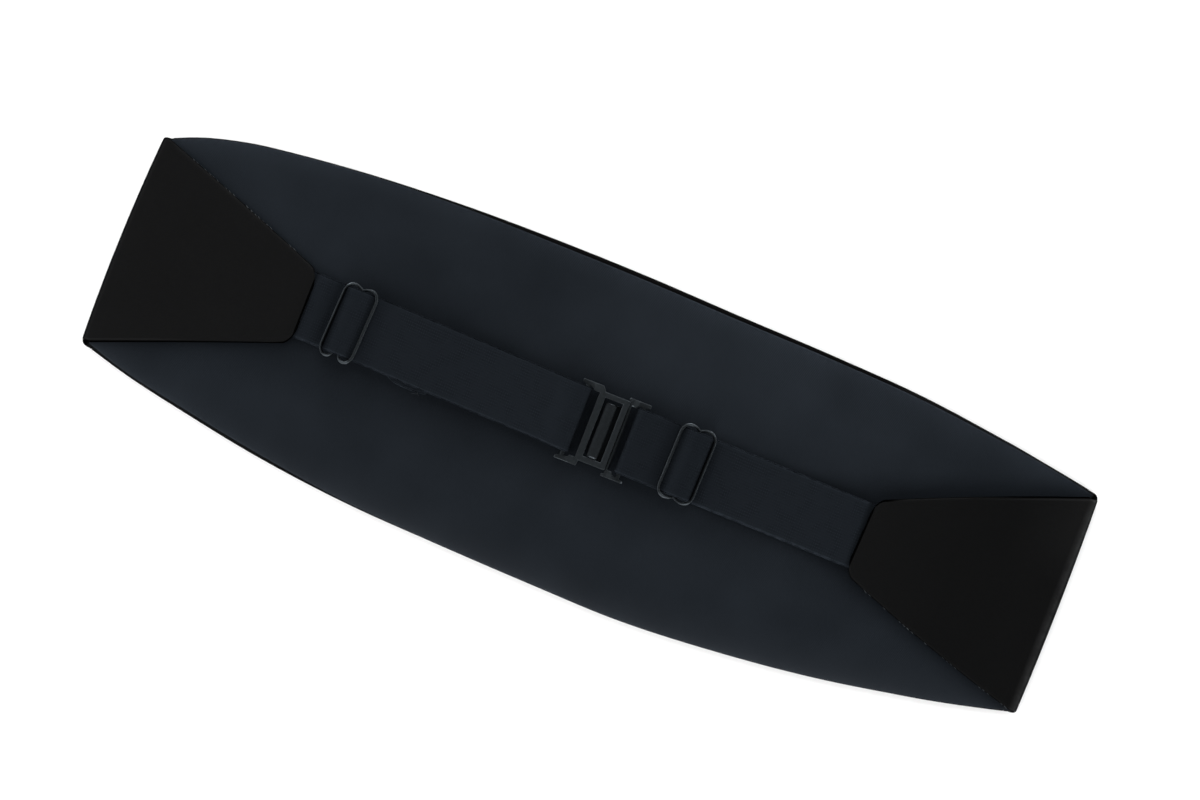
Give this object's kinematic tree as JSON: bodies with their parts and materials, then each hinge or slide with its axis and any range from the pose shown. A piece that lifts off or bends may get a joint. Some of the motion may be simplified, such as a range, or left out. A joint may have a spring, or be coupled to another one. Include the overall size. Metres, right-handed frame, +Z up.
{
  "type": "cummerbund",
  "caption": "Pleated evening cummerbund lying on its front, with its lining up, both tapered ends folded in and its elastic strap hooked across the back.",
  "frame": {"origin": "below the middle of the garment's bounding box, on the surface that it lies on", "axes": "+X along the garment towards the end with the buckle's hook half, +Y across it towards its upper edge, +Z up, out of the lining side"},
  "size_m": [0.408, 0.1342, 0.0101],
  "materials": {
    "satin": "black satin, smooth, with a soft sheen",
    "lining": "dark navy-charcoal lining cloth, matt, fine plain weave",
    "elastic": "woven black elastic, matt, with fine lengthwise ribs",
    "metal": "black enamel, satin gloss"
  },
  "bodies": {
    "root": {"front_panel": "satin", "back_lining": "lining", "tab_left": "satin", "tab_right": "satin", "strap_left": "elastic", "strap_right": "elastic", "slide_left": "metal", "slide_right": "metal", "buckle_frame": "metal", "buckle_hook": "metal"}
  },
  "joints": []
}
